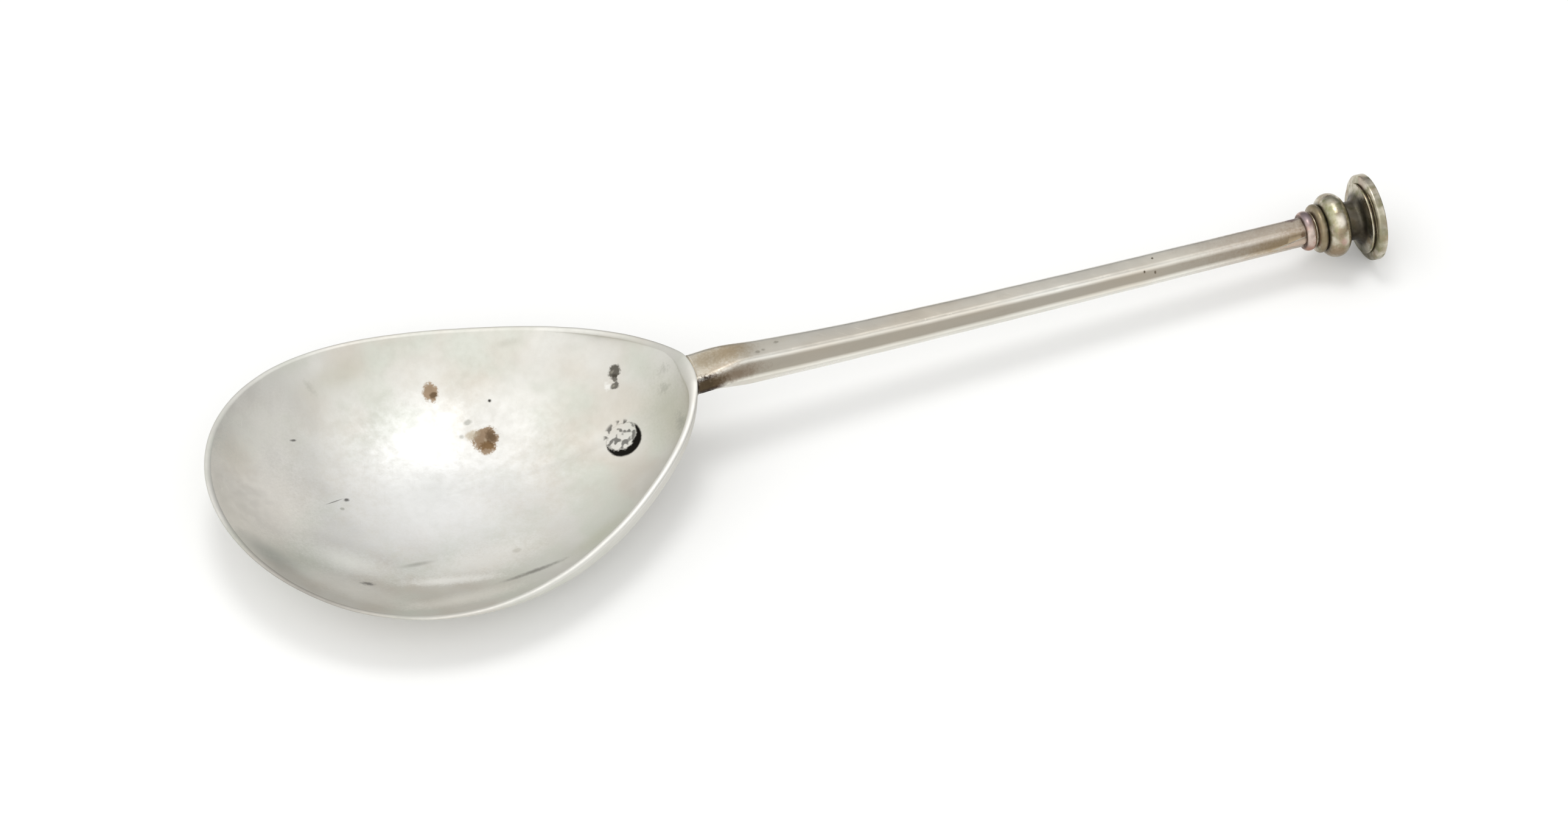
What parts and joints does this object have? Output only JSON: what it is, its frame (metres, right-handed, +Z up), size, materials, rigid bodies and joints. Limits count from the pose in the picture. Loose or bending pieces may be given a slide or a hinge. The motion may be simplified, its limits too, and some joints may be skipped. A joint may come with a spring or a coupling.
{
  "type": "spoon",
  "caption": "Old silver spoon with a fig-shaped bowl, a slender hexagonal stem and a turned baluster finial with a flat round seal.",
  "frame": {"origin": "on the table, on the stem's upright middle plane, halfway between the tip of the bowl and the far rim of the seal", "axes": "+X from the tip of the bowl to the seal, +Z up out of the bowl, +Y across the spoon"},
  "size_m": [0.1668, 0.0515, 0.0145],
  "materials": {
    "bowl": "worn satin silver with grey tarnish",
    "heel_solder": "dull dark solder",
    "stem": "polished silver with brown tarnish",
    "stem_solder": "dull dark solder",
    "collar": "polished, pinkish",
    "baluster": "worn gilding over silver",
    "seal_solder": "dull dark solder",
    "seal_plate": "worn gilding over silver"
  },
  "bodies": {
    "root": {"bowl": "bowl", "heel_solder": "heel_solder", "stem": "stem", "stem_solder": "stem_solder", "collar": "collar", "baluster": "baluster", "seal_solder": "seal_solder", "seal_plate": "seal_plate"}
  },
  "joints": []
}
